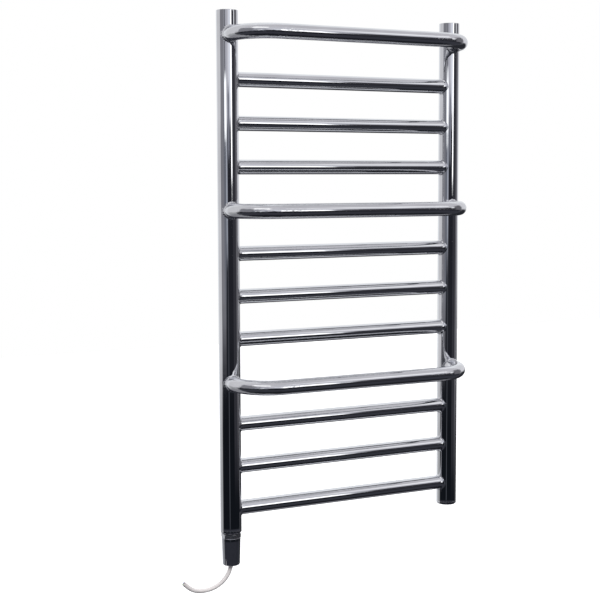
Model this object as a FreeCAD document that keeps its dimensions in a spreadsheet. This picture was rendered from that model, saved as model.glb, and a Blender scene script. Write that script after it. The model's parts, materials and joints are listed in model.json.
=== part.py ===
import FreeCAD, Part
import math
import os
import re
import Sketcher
from FreeCAD import Placement, Rotation, Vector

# Liquid-filled electric towel rail: two upright tubes joined by crossbars, with towel bars bowed out in
# front of them and a heating element screwed into the foot of the left upright.
# Frame: +X along the bars to the right, +Y to the wall, +Z up. The origin is the middle of the four wall
# bosses, on their rear faces. Millimetres.

SIZES = (
    ("upright_spacing", 376, "uprights, centre to centre"),
    ("upright_diameter", 32, "upright tube outside"),
    ("upright_wall", 1.5, "upright tube wall"),
    ("upright_above", 35, "highest bar's centre to the top of the uprights"),
    ("upright_below", 31.5, "lowest bar's centre to the lower end of the tubes"),
    ("bar_rows", 12, "rows of bars"),
    ("towel_row_step", 4, "one row in this many is a towel bar"),
    ("bar_pitch", 64, "row to row"),
    ("bar_diameter", 22, "bar tube outside"),
    ("bar_wall", 1.2, "bar tube wall"),
    ("bar_setback", 1.5, "bar end inside the bore of the upright"),
    ("sheath_gap", 0.4, "least room between a bar's end and the element sheath"),
    ("towel_bar_leg", 3, "straight end of a towel bar outside the upright"),
    ("towel_bar_bend", 55, "towel bar bend radius at its centre line"),
    ("joint_clearance", 0.1, "brazed joint, radial"),
    ("crossbar_fillet", 1.2, "braze fillet round a crossbar"),
    ("towel_bar_fillet", 2.5, "weld fillet round a towel bar's foot"),
    ("cap_thickness", 3, "disc that closes an upright's top"),
    ("cap_chamfer", 0.5, "top disc's edge"),
    ("flange_thickness", 4.5, "end bush flange under a tube"),
    ("flange_chamfer", 1.2, "end bush flange's lower edge"),
    ("spigot_length", 8, "end bush inside a tube"),
    ("port_diameter", 21, "bore of the end bush, for a G 1/2 thread"),
    ("thread_clearance", 0.1, "radial, in the threaded joints"),
    ("plug_length", 11, "blanking plug"),
    ("plug_recess", 0.6, "blanking plug under flush"),
    ("plug_socket", 10, "hexagon socket, across flats"),
    ("plug_socket_depth", 6, "hexagon socket depth"),
    ("ring_section", 2, "O-ring section diameter"),
    ("boss_diameter", 14, "wall boss"),
    ("boss_length", 12, "wall boss"),
    ("boss_proud", 1.5, "wall boss behind the upright"),
    ("boss_hole", 6.8, "wall boss hole, for an M8 thread"),
    ("boss_hole_depth", 9.5, "wall boss hole depth"),
    ("seal_diameter", 27, "element's sealing washer"),
    ("seal_thickness", 1.5, "element's sealing washer"),
    ("hex_width", 26, "element head, across flats"),
    ("hex_height", 6.2, "element head"),
    ("hex_chamfer", 1, "element head's corners"),
    ("shank_length", 14, "element head's threaded shank"),
    ("neck_length", 5, "element head's neck inside the cover"),
    ("sheath_diameter", 10, "element sheath tube outside"),
    ("sheath_wall", 0.8, "element sheath tube wall"),
    ("sheath_length", 400, "element sheath above the sealing washer"),
    ("coil_diameter", 5, "heating coil outside"),
    ("coil_wall", 0.8, "heating coil wire"),
    ("coil_start", 45, "unheated length above the sealing washer"),
    ("coil_margin", 20, "unheated length at the sheath's tip"),
    ("bead_length", 6, "ceramic bead in the sheath's mouth"),
    ("pin_diameter", 1.6, "terminal pins"),
    ("pin_reach", 6, "terminal pins below the element head"),
    ("cover_top_diameter", 28.5, "element cover's upper rim"),
    ("cover_foot_diameter", 26, "element cover's foot"),
    ("cover_length", 42, "element cover"),
    ("cover_wall", 1.5, "element cover's wall"),
    ("cover_floor", 2.5, "element cover's floor"),
    ("cover_edge", 2.2, "element cover's foot radius"),
    ("cover_clearance", 0.2, "element cover round the neck"),
    ("block_width", 13, "terminal block along the bars"),
    ("block_depth", 9, "terminal block towards the wall"),
    ("block_height", 10, "terminal block"),
    ("block_gap", 1.5, "element head to terminal block"),
    ("cutout_diameter", 4, "thermal cut-out"),
    ("cutout_length", 9, "thermal cut-out"),
    ("tag_thickness", 0.8, "earth tag"),
    ("cord_diameter", 6.5, "supply cord outside"),
    ("core_diameter", 2, "insulated core of the cord"),
    ("grommet_wall", 1.8, "grommet round the cord"),
    ("grommet_lip", 1.2, "grommet's lip above the floor"),
    ("lock_wall", 2.2, "cord lock ring round the cord"),
    ("lock_height", 5, "cord lock ring"),
    ("cord_stub", 12, "cord sheath inside the cover"),
)

# The cord's route from the hole in the cover's floor, as offsets along X, Y and Z.
CORD_ROUTE = (
    (0, 0, 0),
    (-2.6, 0, -10.4),
    (-9.6, -0.3, -21),
    (-20, -0.8, -29),
    (-32.2, -1.4, -33.2),
    (-44.7, -2.1, -34.2),
    (-57.2, -2.8, -32.4),
    (-68.4, -3.4, -26.6),
    (-76.8, -4, -17.6),
)
CORE_SPACING = 3.6  # terminal block widths into which its core holes are spaced
ARC_SHARE = 0.45  # of the shorter run beside a corner, taken up by the corner's arc

doc = FreeCAD.newDocument("towel_rail")
sheet = doc.addObject("Spreadsheet::Sheet", "Sizes")
for line, (alias, amount, note) in enumerate(SIZES, start=1):
    sheet.set(f"A{line}", note)
    sheet.set(f"B{line}", str(amount))
    sheet.setAlias(f"B{line}", alias)
doc.recompute()
ALIASES = {alias for alias, amount, note in SIZES}
pieces = []

# Places worked out from the sizes, as expressions.
UPRIGHT_X = "upright_spacing / 2"
UPRIGHT_Y = "-(upright_diameter / 2 + boss_proud)"
TUBE_RADIUS = "upright_diameter / 2"
BORE_RADIUS = "(upright_diameter / 2 - upright_wall)"
BAR_RADIUS = "bar_diameter / 2"
TOP_ROW = "bar_pitch * (bar_rows - 1) / 2"
TUBE_TOP = f"({TOP_ROW} + upright_above)"
TUBE_FOOT = f"-({TOP_ROW} + upright_below)"
FLANGE_FOOT = f"({TUBE_FOOT} - flange_thickness)"
HEAD_TOP = f"({FLANGE_FOOT} - seal_thickness)"
HEX_FOOT = f"({HEAD_TOP} - hex_height)"
NECK_FOOT = f"({HEX_FOOT} - neck_length)"
COVER_FOOT = f"({HEX_FOOT} - cover_length)"
BLOCK_TOP = f"({NECK_FOOT} - block_gap)"
BLOCK_FOOT = f"({BLOCK_TOP} - block_height)"
COVER_SLOPE = "(cover_top_diameter - cover_foot_diameter) / 2 / cover_length"
STUB_TOP = f"({COVER_FOOT} + cord_stub)"
BORE_CHORD = f"sqrt({BORE_RADIUS}^2 - ({BAR_RADIUS})^2)"
SHEATH_ROOM = "sheath_diameter / 2 + sheath_gap"
BAR_END = f"max({BORE_CHORD} - bar_setback; {SHEATH_ROOM})"  # bar end to the upright's axis
BEND_START = f"({TUBE_RADIUS} + towel_bar_leg)"  # from the upright's axis
TOWEL_BAR_REACH = f"({BEND_START} + towel_bar_bend)"


def bound(text):
    # An expression with the sheet's name put before each of its aliases.
    def named(match):
        word = match.group()
        return "Sizes." + word if word in ALIASES else word

    return re.sub(r"[a-z]+(?:_[a-z]+)*", named, text)


def value(text):
    return float(sheet.evalExpression(bound(str(text))))


def bind(item, prop, text):
    item.setExpression(prop, bound(str(text)))


def place(item, across="0", along="0", up="0"):
    for letter, text in zip("xyz", (across, along, up)):
        bind(item, f"Placement.Base.{letter}", text)


def keep(item, label):
    item.Label = label
    pieces.append(item)
    return item


def row_height(row):
    return f"({TOP_ROW} - bar_pitch * {row})"


# ---- sketches and bodies


def plain_body(name):
    body = doc.addObject("PartDesign::Body", name)
    body.Label = name
    return body


def new_body(label):
    return keep(plain_body(label), label)


def sketch_on(body, role, lift=None):
    plane = next(item for item in body.Origin.OriginFeatures if item.Role == role)
    sketch = body.newObject("Sketcher::SketchObject", body.Label + "_sketch")
    sketch.AttachmentSupport = (plane, [""])
    sketch.MapMode = "FlatFace"
    if lift is not None:
        bind(sketch, "AttachmentOffset.Base.z", lift)
    return sketch


def hold(sketch, kind, where, text):
    place_in_list = sketch.addConstraint(Sketcher.Constraint(kind, *where, value(text)))
    bind(sketch, f"Constraints[{place_in_list}]", text)


def hold_point(sketch, curve, point, across, up):
    hold(sketch, "DistanceX", (-1, 1, curve, point), across)
    hold(sketch, "DistanceY", (-1, 1, curve, point), up)


def draw_circle(sketch, across, up, radius):
    centre = Vector(value(across), value(up), 0)
    curve = sketch.addGeometry(Part.Circle(centre, Vector(0, 0, 1), value(radius)), False)
    hold(sketch, "Radius", (curve,), radius)
    hold_point(sketch, curve, 3, across, up)


def draw_outline(sketch, corners):
    spots = [Vector(value(across), value(up), 0) for across, up in corners]
    curves = []
    for start, end in zip(spots, spots[1:] + spots[:1]):
        curves.append(sketch.addGeometry(Part.LineSegment(start, end), False))
    for curve, follower in zip(curves, curves[1:] + curves[:1]):
        sketch.addConstraint(Sketcher.Constraint("Coincident", curve, 2, follower, 1))
    for curve, (across, up) in zip(curves, corners):
        hold_point(sketch, curve, 1, across, up)


def draw_hexagon(sketch, width):
    corners = []
    for corner in range(6):
        turn = f"({60 * corner + 30} * 1 deg)"
        reach = f"{width} / 2 / cos(30 * 1 deg)"
        corners.append((f"{reach} * cos{turn}", f"{reach} * sin{turn}"))
    draw_outline(sketch, corners)


def pad(body, sketch, length):
    solid = body.newObject("PartDesign::Pad", body.Label + "_pad")
    solid.Profile = sketch
    bind(solid, "Length", length)
    return solid


def pocket(body, sketch, forward, depth=None):
    # Cuts along the sketch's normal where forward is true, else against it, and must take metal away.
    doc.recompute()
    before = body.Shape.Volume
    cut = body.newObject("PartDesign::Pocket", body.Label + "_pocket")
    cut.Profile = sketch
    cut.Reversed = forward
    if depth is None:
        cut.Type = "ThroughAll"
    else:
        bind(cut, "Length", depth)
    doc.recompute()
    if not body.Shape.Volume < before - 0.1:
        raise RuntimeError(f"a pocket in {body.Label} cuts nothing")
    return cut


def turned(label, corners):
    # A solid of revolution about Z; each corner is a radius and a height.
    body = new_body(label)
    sketch = sketch_on(body, "XZ_Plane")
    draw_outline(sketch, corners)
    turn = body.newObject("PartDesign::Revolution", label + "_turn")
    turn.Profile = sketch
    turn.ReferenceAxis = (sketch, ["V_Axis"])
    turn.Angle = 360
    return body


def washer(label, inner, outer, foot, top):
    return turned(label, ((inner, foot), (outer, foot), (outer, top), (inner, top)))


def cylinder(name, radius, length):
    solid = doc.addObject("Part::Cylinder", name)
    bind(solid, "Radius", radius)
    bind(solid, "Height", length)
    return solid


def cut_from(name, base, tool):
    solid = doc.addObject("Part::Cut", name)
    solid.Base = base
    solid.Tool = tool
    return solid


def fused(name, items):
    solid = doc.addObject("Part::MultiFuse", name)
    solid.Shapes = items
    return solid


def copies(name, source, placements):
    # Several equal solids in one object.
    doc.recompute()
    group = doc.addObject("Part::Feature", name)
    shapes = []
    for spot in placements:
        shape = source.Shape.copy()
        shape.Placement = spot.multiply(shape.Placement)
        shapes.append(shape)
    group.Shape = Part.makeCompound(shapes)
    return group


# ---- the welded frame


def upright(label, side):
    # side is -1 on the left and 1 on the right. Its crossbar holes face the other upright.
    body = new_body(label)
    tube = sketch_on(body, "XY_Plane", TUBE_FOOT)
    draw_circle(tube, "0", "0", TUBE_RADIUS)
    draw_circle(tube, "0", "0", BORE_RADIUS)
    pad(body, tube, f"{TUBE_TOP} - {TUBE_FOOT}")
    bar_hole = f"{BAR_RADIUS} + joint_clearance"
    crossbar_holes = sketch_on(body, "YZ_Plane")
    for row in crossbar_rows:
        draw_circle(crossbar_holes, "0", row_height(row), bar_hole)
    pocket(body, crossbar_holes, forward=side < 0)
    towel_bar_holes = sketch_on(body, "XZ_Plane")
    for row in towel_rows:
        draw_circle(towel_bar_holes, "0", row_height(row), bar_hole)
    pocket(body, towel_bar_holes, forward=True)
    boss_holes = sketch_on(body, "XZ_Plane")
    for height in BOSS_HEIGHTS:
        draw_circle(boss_holes, "0", height, "boss_diameter / 2 + joint_clearance")
    pocket(body, boss_holes, forward=False)
    place(body, f"{side} * {UPRIGHT_X}", UPRIGHT_Y)
    return body


def joint_fillet(name, radius_alias):
    # The ring of metal in the corner between an upright, here along Z, and a bar, here along +X.
    stretch = value("bar_diameter") * 2
    post = Part.makeCylinder(value(TUBE_RADIUS), 2 * stretch, Vector(0, 0, -stretch))
    bar = Part.makeCylinder(value(BAR_RADIUS), 2 * stretch, Vector(0, 0, 0), Vector(1, 0, 0))
    corner = post.fuse(bar)
    seams = []
    for edge in corner.Edges:
        middle = edge.valueAt((edge.FirstParameter + edge.LastParameter) / 2)
        on_post = abs(math.hypot(middle.x, middle.y) - value(TUBE_RADIUS)) < 0.01
        on_bar = abs(math.hypot(middle.y, middle.z) - value(BAR_RADIUS)) < 0.01
        if on_post and on_bar:
            seams.append(edge)
    ring = doc.addObject("Part::Feature", name)
    ring.Shape = corner.makeFillet(value(radius_alias), seams).cut(corner).Solids[0]
    return ring


def with_fillets(label, tube, row, ring, turns):
    # The bar with its ring of metal at either upright, where turns aims the ring along the bar.
    spots = []
    for side, turn in zip((-1, 1), turns):
        spot = Vector(side * value(UPRIGHT_X), value(UPRIGHT_Y), value(row_height(row)))
        spots.append(Placement(spot, Rotation(Vector(0, 0, 1), turn)))
    rings = copies(label + "_fillets", ring, spots)
    return keep(fused(label, [tube, rings]), label)


def crossbar(label, row, ring):
    body = plain_body(label + "_tube")
    tube = sketch_on(body, "YZ_Plane", f"-({UPRIGHT_X} - {BAR_END})")
    draw_circle(tube, "0", "0", BAR_RADIUS)
    draw_circle(tube, "0", "0", f"{BAR_RADIUS} - bar_wall")
    pad(body, tube, f"upright_spacing - 2 * {BAR_END}")
    place(body, "0", UPRIGHT_Y, row_height(row))
    with_fillets(label, body, row, ring, (0, 180))


def towel_bar(label, row, ring):
    # A tube bent twice: out of the left upright, across, and back into the right one.
    body = plain_body(label + "_tube")
    path = sketch_on(body, "XY_Plane")
    half = value(UPRIGHT_X)
    reach = value(TOWEL_BAR_REACH)
    bend = value("towel_bar_bend")
    foot = value(BAR_END)
    corner = bend * math.sqrt(0.5)
    stops = (
        Vector(-half, -foot, 0),
        Vector(-half, bend - reach, 0),
        Vector(bend - half, -reach, 0),
        Vector(half - bend, -reach, 0),
        Vector(half, bend - reach, 0),
        Vector(half, -foot, 0),
    )
    left_middle = Vector(bend - half - corner, bend - reach - corner, 0)
    right_middle = Vector(half - bend + corner, bend - reach - corner, 0)
    curves = (
        Part.LineSegment(stops[0], stops[1]),
        Part.Arc(stops[1], left_middle, stops[2]),
        Part.LineSegment(stops[2], stops[3]),
        Part.Arc(stops[3], right_middle, stops[4]),
        Part.LineSegment(stops[4], stops[5]),
    )
    first, left_bend, front, right_bend, last = (path.addGeometry(curve, False) for curve in curves)
    chain = (first, left_bend, front, right_bend, last)
    for curve, follower in zip(chain, chain[1:]):
        path.addConstraint(Sketcher.Constraint("Tangent", curve, 2, follower, 1))
    hold_point(path, first, 1, f"-{UPRIGHT_X}", f"-{BAR_END}")
    hold_point(path, last, 2, UPRIGHT_X, f"-{BAR_END}")
    path.addConstraint(Sketcher.Constraint("Vertical", first))
    path.addConstraint(Sketcher.Constraint("Vertical", last))
    hold(path, "Radius", (left_bend,), "towel_bar_bend")
    hold(path, "Radius", (right_bend,), "towel_bar_bend")
    hold(path, "DistanceY", (-1, 1, front, 1), f"-{TOWEL_BAR_REACH}")
    section = sketch_on(body, "XZ_Plane", BAR_END)
    draw_circle(section, f"-{UPRIGHT_X}", "0", BAR_RADIUS)
    draw_circle(section, f"-{UPRIGHT_X}", "0", f"{BAR_RADIUS} - bar_wall")
    sweep = body.newObject("PartDesign::AdditivePipe", label + "_bend")
    sweep.Profile = section
    sweep.Spine = path
    place(body, "0", UPRIGHT_Y, row_height(row))
    with_fillets(label, body, row, ring, (-90, -90))


def top_cap(label, side):
    radius = f"{BORE_RADIUS} - joint_clearance"
    corners = (
        ("0", "0"),
        (radius, "0"),
        (radius, "cap_thickness - cap_chamfer"),
        (f"{radius} - cap_chamfer", "cap_thickness"),
        ("0", "cap_thickness"),
    )
    cap = turned(label, corners)
    place(cap, f"{side} * {UPRIGHT_X}", UPRIGHT_Y, f"{TUBE_TOP} - cap_thickness")


def end_bush(label, side):
    port = "port_diameter / 2"
    spigot = f"{BORE_RADIUS} - joint_clearance"
    corners = (
        (port, "0"),
        (f"{TUBE_RADIUS} - flange_chamfer", "0"),
        (TUBE_RADIUS, "flange_chamfer"),
        (TUBE_RADIUS, "flange_thickness"),
        (spigot, "flange_thickness"),
        (spigot, "flange_thickness + spigot_length"),
        (port, "flange_thickness + spigot_length"),
    )
    bush = turned(label, corners)
    place(bush, f"{side} * {UPRIGHT_X}", UPRIGHT_Y, FLANGE_FOOT)


def wall_bosses():
    blank = cylinder("boss_blank", "boss_diameter / 2", "boss_length")
    hole = cylinder("boss_hole_tool", "boss_hole / 2", "boss_hole_depth")
    bind(hole, "Placement.Base.z", "boss_length - boss_hole_depth")
    boss = cut_from("boss", blank, hole)
    to_wall = Rotation(Vector(1, 0, 0), -90)
    spots = []
    for side in (-1, 1):
        for height in BOSS_HEIGHTS:
            spot = Vector(side * value(UPRIGHT_X), -value("boss_length"), value(height))
            spots.append(Placement(spot, to_wall))
    keep(copies("wall_bosses", boss, spots), "wall_bosses")


def blanking_plug():
    thread = "port_diameter / 2 - thread_clearance"
    groove = f"{thread} - ring_section"
    middle = "plug_length / 2"
    corners = (
        ("0", "0"),
        (thread, "0"),
        (thread, f"{middle} - ring_section / 2"),
        (groove, f"{middle} - ring_section / 2"),
        (groove, f"{middle} + ring_section / 2"),
        (thread, f"{middle} + ring_section / 2"),
        (thread, "plug_length"),
        ("0", "plug_length"),
    )
    plug = turned("blanking_plug", corners)
    socket = sketch_on(plug, "XY_Plane")
    draw_hexagon(socket, "plug_socket")
    pocket(plug, socket, forward=True, depth="plug_socket_depth")
    place(plug, UPRIGHT_X, UPRIGHT_Y, f"{FLANGE_FOOT} + plug_recess")
    ring = keep(doc.addObject("Part::Torus", "blanking_plug_ring"), "blanking_plug_ring")
    bind(ring, "Radius1", f"{thread} - ring_section / 2")
    bind(ring, "Radius2", "ring_section / 2")
    place(ring, UPRIGHT_X, UPRIGHT_Y, f"{FLANGE_FOOT} + plug_recess + {middle}")


# ---- the heating element, in the foot of the left upright


def at_element(item, height="0"):
    place(item, f"-{UPRIGHT_X}", UPRIGHT_Y, height)


def element_seal():
    seal = washer("element_seal", "port_diameter / 2", "seal_diameter / 2", "0", "seal_thickness")
    at_element(seal, HEAD_TOP)


def element_head():
    bore = "sheath_diameter / 2 + joint_clearance"
    shank = "port_diameter / 2 - thread_clearance"
    corner = "hex_width / 2 / cos(30 * 1 deg)"
    neck = f"cover_top_diameter / 2 - {COVER_SLOPE} * neck_length - cover_wall - cover_clearance"
    corners = (
        (bore, "-(hex_height + neck_length)"),
        (neck, "-(hex_height + neck_length)"),
        (neck, "-hex_height"),
        (f"{corner} - hex_chamfer", "-hex_height"),
        (corner, "-hex_height + hex_chamfer / 2"),
        (corner, "-hex_chamfer / 2"),
        (f"{corner} - hex_chamfer", "0"),
        (shank, "0"),
        (shank, "shank_length"),
        (bore, "shank_length"),
    )
    head = turned("element_head", corners)
    flats = sketch_on(head, "XY_Plane", "shank_length")
    draw_circle(flats, "0", "0", "hex_width")
    draw_hexagon(flats, "hex_width")
    pocket(head, flats, forward=False)
    at_element(head, HEAD_TOP)


def element_rod():
    outer = "sheath_diameter / 2"
    inner = "(sheath_diameter / 2 - sheath_wall)"
    mouth = "-(hex_height + neck_length)"
    corners = (
        (inner, mouth),
        (outer, mouth),
        (outer, "sheath_length - sheath_wall"),
        (f"{outer} - sheath_wall", "sheath_length"),
        ("0", "sheath_length"),
        ("0", "sheath_length - sheath_wall"),
        (inner, "sheath_length - sheath_wall"),
    )
    at_element(turned("element_sheath", corners), HEAD_TOP)

    coil_inner = "coil_diameter / 2 - coil_wall"
    coil_top = "sheath_length - coil_margin"
    coil = washer("heating_coil", coil_inner, "coil_diameter / 2", "coil_start", coil_top)
    at_element(coil, HEAD_TOP)

    pin_centre = "(coil_diameter - coil_wall) / 2"
    pin_foot = "-(hex_height + neck_length + pin_reach)"
    pin = cylinder("pin", "pin_diameter / 2", f"coil_start - ({pin_foot})")
    spots = []
    for side in (-1, 1):
        spot = Vector(
            side * value(pin_centre) - value(UPRIGHT_X),
            value(UPRIGHT_Y),
            value(HEAD_TOP) + value(pin_foot),
        )
        spots.append(Placement(spot, Rotation()))
    pins = keep(copies("terminal_pins", pin, spots), "terminal_pins")

    bead = cylinder("bead_blank", inner, "bead_length")
    at_element(bead, NECK_FOOT)
    keep(cut_from("element_bead", bead, pins), "element_bead")

    filling_length = f"sheath_length - sheath_wall - ({mouth}) - bead_length"
    filling = cylinder("filling_blank", inner, filling_length)
    at_element(filling, f"{NECK_FOOT} + bead_length")
    wires = fused("filling_tools", [coil, pins])
    keep(cut_from("element_filling", filling, wires), "element_filling")


# ---- under the element head: terminals, cord entry and cover


def terminals():
    block = doc.addObject("Part::Box", "block_blank")
    bind(block, "Length", "block_width")
    bind(block, "Width", "block_depth")
    bind(block, "Height", "block_height")
    place(
        block,
        f"-{UPRIGHT_X} - block_width / 2",
        f"{UPRIGHT_Y} - block_depth / 2",
        BLOCK_FOOT,
    )
    tools = []
    for side in (-1, 1):
        hole = cylinder("pin_hole", "pin_diameter / 2 + joint_clearance", "pin_reach - block_gap + 1")
        centre = f"-{UPRIGHT_X} + {side} * (coil_diameter - coil_wall) / 2"
        place(hole, centre, UPRIGHT_Y, f"{BLOCK_TOP} - (pin_reach - block_gap)")
        tools.append(hole)
    for number in (-1, 0, 1):
        hole = cylinder("core_hole", "core_diameter / 2 + joint_clearance", "block_height / 3")
        place(hole, f"-{UPRIGHT_X} + {number} * block_width / {CORE_SPACING}", UPRIGHT_Y, BLOCK_FOOT)
        tools.append(hole)
    keep(cut_from("terminal_block", block, fused("block_tools", tools)), "terminal_block")

    cutout = cylinder("thermal_cutout", "cutout_diameter / 2", "cutout_length")
    beside = f"{UPRIGHT_Y} + block_depth / 2 + cutout_diameter / 2"
    place(cutout, f"-{UPRIGHT_X}", beside, f"{BLOCK_TOP} - cutout_length")
    keep(cutout, "thermal_cutout")

    tag = doc.addObject("Part::Box", "earth_tag")
    bind(tag, "Length", "block_width / 2")
    bind(tag, "Width", "tag_thickness")
    bind(tag, "Height", "block_gap + block_height / 2")
    in_front = f"{UPRIGHT_Y} - block_depth / 2 - tag_thickness"
    place(tag, f"-{UPRIGHT_X} - block_width / 4", in_front, f"{NECK_FOOT} - block_gap - block_height / 2")
    keep(tag, "earth_tag")


def cord_entry():
    cord = "cord_diameter / 2"
    grommet_radius = f"{cord} + grommet_wall"
    corners = (
        (cord, "0"),
        (grommet_radius, "0"),
        (grommet_radius, "cover_floor"),
        (f"{grommet_radius} + grommet_lip", "cover_floor"),
        (f"{grommet_radius} + grommet_lip", "cover_floor + grommet_lip"),
        (cord, "cover_floor + grommet_lip"),
    )
    at_element(turned("cord_grommet", corners), COVER_FOOT)
    lock_foot = "cover_floor + grommet_lip"
    lock = washer("cord_lock", cord, f"{cord} + lock_wall", lock_foot, f"{lock_foot} + lock_height")
    at_element(lock, COVER_FOOT)


def cord_inner_end(cord):
    # The sheath inside the cover, trimmed where the cord slants away below it.
    stub = cylinder("stub_blank", "cord_diameter / 2", "cord_stub")
    at_element(stub, COVER_FOOT)
    keep(cut_from("cord_inner_end", stub, cord), "cord_inner_end")


def cores():
    # Three insulated cores from the cord's inner end up into the terminal block.
    start = value(STUB_TOP)
    end = value(BLOCK_FOOT) + value("block_height") / 4
    middle = (start + value(BLOCK_FOOT)) / 2
    spread = value("block_width") / CORE_SPACING
    bundle = value("core_diameter") * 0.6  # from the cord's axis to each core's, side by side in a triangle
    axis = Vector(-value(UPRIGHT_X), value(UPRIGHT_Y), 0)
    for number, label in ((-1, "live_core"), (0, "earth_core"), (1, "neutral_core")):
        turn = math.radians(-90 + 120 * number)
        low = axis + Vector(bundle * math.cos(turn), bundle * math.sin(turn), start)
        high = axis + Vector(number * spread, 0, value(BLOCK_FOOT))
        bend = Vector(low.x, low.y, middle)
        upper_bend = Vector(high.x, high.y, middle + (high.z - middle) / 2)
        route = (low, bend, upper_bend, axis + Vector(number * spread, 0, end))
        wire = path_wire(route)[0]
        core = doc.addObject("Part::Feature", label)
        core.Shape = tube_along(wire, value("core_diameter") / 2)
        keep(core, label)


def cover():
    top = "cover_top_diameter / 2"
    foot = "cover_foot_diameter / 2"
    hole = "cord_diameter / 2 + grommet_wall"
    inner_foot = f"{foot} + {COVER_SLOPE} * cover_floor - cover_wall"
    corners = (
        (hole, "0"),
        (foot, "0"),
        (top, "cover_length"),
        (f"{top} - cover_wall", "cover_length"),
        (inner_foot, "cover_floor"),
        (hole, "cover_floor"),
    )
    body = turned("element_cover", corners)
    doc.recompute()
    solid = body.Tip
    rim = value(foot)
    for number, edge in enumerate(solid.Shape.Edges, start=1):
        round_edge = isinstance(edge.Curve, Part.Circle) and abs(edge.Curve.Radius - rim) < 0.01
        if round_edge and abs(edge.Curve.Center.z) < 0.01:
            smooth = body.newObject("PartDesign::Fillet", "element_cover_edge")
            smooth.Base = (solid, [f"Edge{number}"])
            bind(smooth, "Radius", "cover_edge")
            break
    at_element(body, COVER_FOOT)


# ---- cord


def path_wire(route):
    # Straight runs joined by tangent arcs. Returns the wire, its length and the arcs' radii.
    edges = []
    radii = []
    here = route[0]
    for before, corner, after in zip(route, route[1:], route[2:]):
        incoming = (corner - before).normalize()
        outgoing = (after - corner).normalize()
        turn = incoming.getAngle(outgoing)
        reach = ARC_SHARE * min((corner - before).Length, (after - corner).Length)
        radius = reach / math.tan(turn / 2)
        start = corner - incoming * reach
        end = corner + outgoing * reach
        inward = (outgoing - incoming).normalize()
        middle = corner + inward * radius * (1 / math.cos(turn / 2) - 1)
        edges.append(Part.LineSegment(here, start).toShape())
        edges.append(Part.Arc(start, middle, end).toShape())
        radii.append(radius)
        here = end
    edges.append(Part.LineSegment(here, route[-1]).toShape())
    wire = Part.Wire(edges)
    return wire, wire.Length, radii


def tube_along(wire, radius):
    start = wire.Vertexes[0].Point
    ahead = wire.Edges[0].tangentAt(wire.Edges[0].FirstParameter)
    section = Part.Wire([Part.Circle(start, ahead, radius).toShape()])
    return wire.makePipeShell([section], True, True)


def supply_cord():
    exit_point = Vector(-value(UPRIGHT_X), value(UPRIGHT_Y), value(COVER_FOOT))
    route = [exit_point + Vector(*offset) for offset in CORD_ROUTE]
    wire, length, radii = path_wire(route)
    radius = value("cord_diameter") / 2
    cord = doc.addObject("Part::Feature", "supply_cord")
    cord.Shape = tube_along(wire, radius)
    keep(cord, "supply_cord")
    print(f"cord length {length:.1f}, radii {[round(item, 1) for item in radii]}")
    print(f"cord volume {cord.Shape.Volume:.1f}, section times length {math.pi * radius**2 * length:.1f}")
    return cord


# ---- build

ROWS = range(int(value("bar_rows")))
towel_rows = [row for row in ROWS if row % int(value("towel_row_step")) == 0]
crossbar_rows = [row for row in ROWS if row not in towel_rows]
BOSS_HEIGHTS = (f"({TOP_ROW} - bar_pitch / 2)", f"-({TOP_ROW} - bar_pitch / 2)")

upright("left_upright", -1)
upright("right_upright", 1)
crossbar_ring = joint_fillet("crossbar_ring", "crossbar_fillet")
for number, row in enumerate(crossbar_rows, start=1):
    crossbar(f"crossbar_{number}", row, crossbar_ring)
towel_bar_ring = joint_fillet("towel_bar_ring", "towel_bar_fillet")
for name, row in zip(("top", "middle", "lower"), towel_rows):
    towel_bar(f"towel_bar_{name}", row, towel_bar_ring)
for name, side in (("left", -1), ("right", 1)):
    top_cap(f"{name}_top_cap", side)
    end_bush(f"{name}_end_bush", side)
wall_bosses()
blanking_plug()
element_seal()
element_head()
element_rod()
terminals()
cord_entry()
cores()
cover()
cord_inner_end(supply_cord())
doc.recompute()

for item in doc.Objects:
    if "Invalid" in item.State or "Error" in item.State:
        raise RuntimeError(f"{item.Label} did not compute: {item.State}")
for piece in pieces:
    if piece.Shape.isNull() or not piece.Shape.isValid():
        raise RuntimeError(f"{piece.Label} has no valid shape")

os.makedirs("parts", exist_ok=True)
for piece in pieces:
    piece.Shape.exportStep(f"parts/{piece.Label}.step")
print(f"{len(pieces)} nodes written")
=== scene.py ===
import json
import math
import bmesh
import bpy
from mathutils import Matrix, Vector


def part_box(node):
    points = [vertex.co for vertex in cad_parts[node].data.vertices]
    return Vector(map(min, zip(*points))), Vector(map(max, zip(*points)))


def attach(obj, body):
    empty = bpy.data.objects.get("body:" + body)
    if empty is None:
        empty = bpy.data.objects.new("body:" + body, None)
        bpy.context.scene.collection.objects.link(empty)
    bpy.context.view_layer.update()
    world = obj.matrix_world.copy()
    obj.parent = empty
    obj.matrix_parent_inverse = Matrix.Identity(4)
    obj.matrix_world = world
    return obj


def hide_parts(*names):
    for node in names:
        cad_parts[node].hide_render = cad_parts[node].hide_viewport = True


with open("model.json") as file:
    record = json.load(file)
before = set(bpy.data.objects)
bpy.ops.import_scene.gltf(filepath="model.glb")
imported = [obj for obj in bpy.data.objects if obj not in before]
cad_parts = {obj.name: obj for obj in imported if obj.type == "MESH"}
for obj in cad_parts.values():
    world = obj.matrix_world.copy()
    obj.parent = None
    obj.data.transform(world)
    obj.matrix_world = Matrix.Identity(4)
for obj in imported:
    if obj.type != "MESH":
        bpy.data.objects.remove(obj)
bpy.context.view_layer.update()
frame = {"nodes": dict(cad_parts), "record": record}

print("frame loaded:", len(frame["nodes"]), "nodes")


camera = {
    "place": (-0.7893, -1.6348, 0.1451),
    "turn": 24.632,      # degrees to the right of straight at the wall
    "dip": 4.564,        # degrees below level
    "roll": -0.126,
    "lens": 69.92,
    "shift": (-0.025, -0.05),
}


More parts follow.
